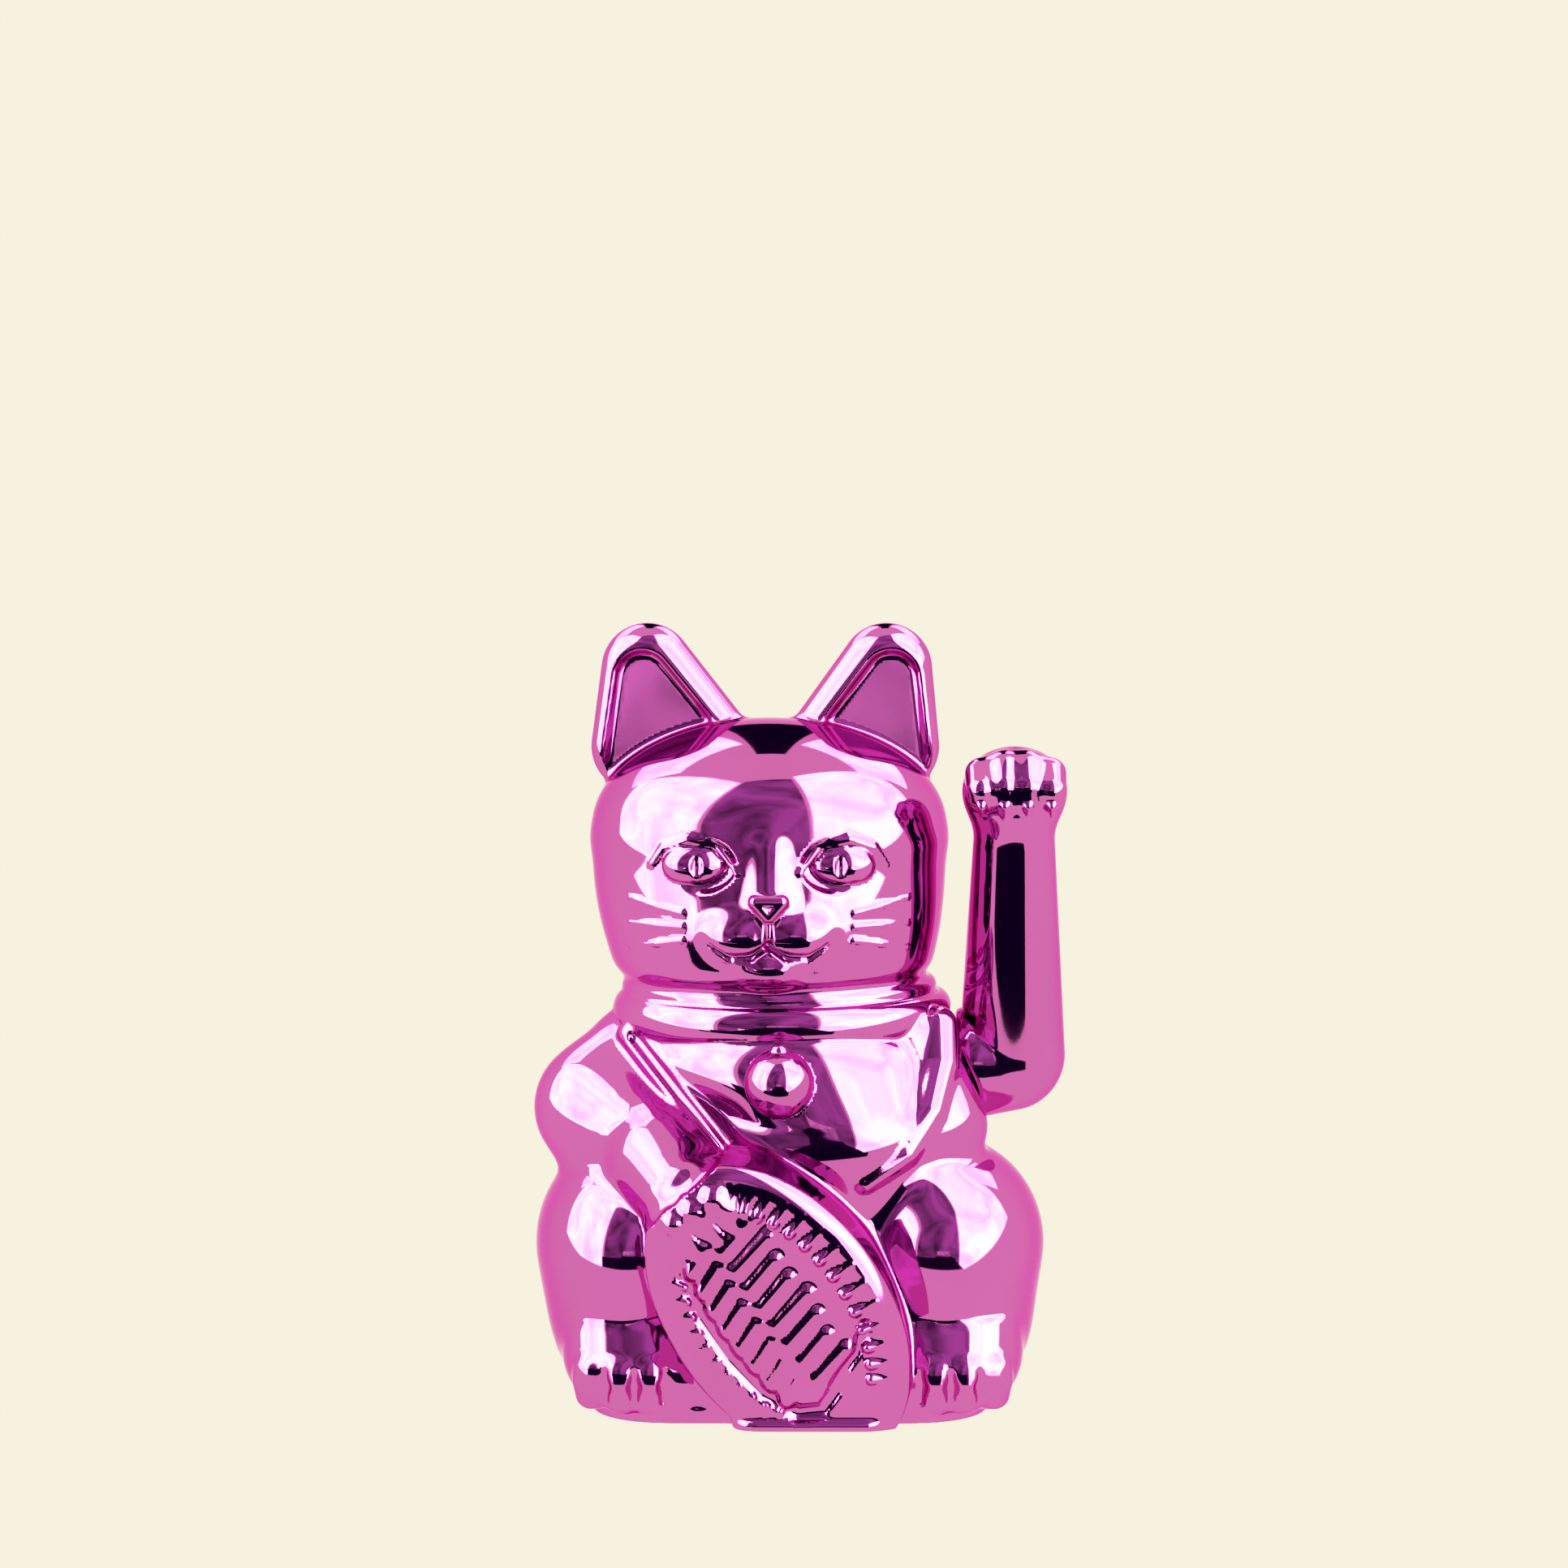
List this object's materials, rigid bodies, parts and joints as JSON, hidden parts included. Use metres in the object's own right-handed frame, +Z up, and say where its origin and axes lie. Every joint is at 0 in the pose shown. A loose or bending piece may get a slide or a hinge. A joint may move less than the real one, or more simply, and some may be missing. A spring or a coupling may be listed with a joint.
{
  "type": "beckoning cat figurine",
  "caption": "Hollow seated cat figure holding an oval coin, with a raised forearm that swings on an axle driven by a magnet pendulum over a coil.",
  "frame": {"origin": "bottom centre of the figure's box, on the plane of the base's feet", "axes": "+Z up, the figure faces -Y, the swinging arm is on the +X side and swings about an axis along +X"},
  "size_m": [0.1013, 0.0844, 0.1494],
  "materials": {
    "plated_plastic": "vacuum-plated bright pink, mirror smooth",
    "steel": "plain",
    "magnet": "nickel-plated",
    "brass": "plain",
    "black_plastic": "moulded, matte",
    "nylon": "moulded, natural",
    "copper": "enamelled winding",
    "board": "laminate with solder mask",
    "capacitor_sleeve": "shrink sleeve",
    "resistor_body": "lacquered",
    "cell": "sleeved can",
    "lead_red": "wire insulation",
    "lead_black": "wire insulation"
  },
  "bodies": {
    "casing": {"front_shell": "plated_plastic", "rear_shell": "plated_plastic", "base_plate": "plated_plastic", "base_screws": "steel", "bearing_post_inner": "black_plastic", "bearing_post_outer": "black_plastic", "post_screws": "steel", "bush_inner": "brass", "bush_outer": "brass", "coil_bobbin": "nylon", "coil_winding": "copper", "circuit_board": "board", "board_screws": "steel", "driver_transistor": "black_plastic", "timing_capacitor": "capacitor_sleeve", "resistors": "resistor_body", "battery_cell": "cell", "battery_spring": "steel", "battery_contact": "steel", "switch_body": "steel", "switch_pins": "brass", "switch_screws": "steel", "lead_battery_board": "lead_red", "lead_battery_switch": "lead_black", "lead_switch_board": "lead_red"},
    "swinging_arm": {"arm_front_shell": "plated_plastic", "arm_rear_shell": "plated_plastic", "arm_axle": "steel", "axle_clips": "steel", "pendulum_lever": "nylon", "lever_screw": "steel", "counterweight": "steel", "drive_magnet": "magnet"},
    "cover": {"battery_cover": "plated_plastic"},
    "slider": {"switch_slider": "black_plastic"}
  },
  "joints": [
    {"name": "arm_swing", "type": "hinge", "parent": "casing", "child": "swinging_arm", "pos_m": [0.03, 0.002, 0.064], "axis": [1, 0, 0], "range_deg": [-16, 16]},
    {"name": "cover_hinge", "type": "hinge", "parent": "casing", "child": "cover", "pos_m": [-0.016, 0.0263, 0.0016], "axis": [1, 0, 0], "range_deg": [0, 100]},
    {"name": "switch_slide", "type": "slide", "parent": "casing", "child": "slider", "axis": [1, 0, 0], "range_m": [0, 0.003]}
  ]
}
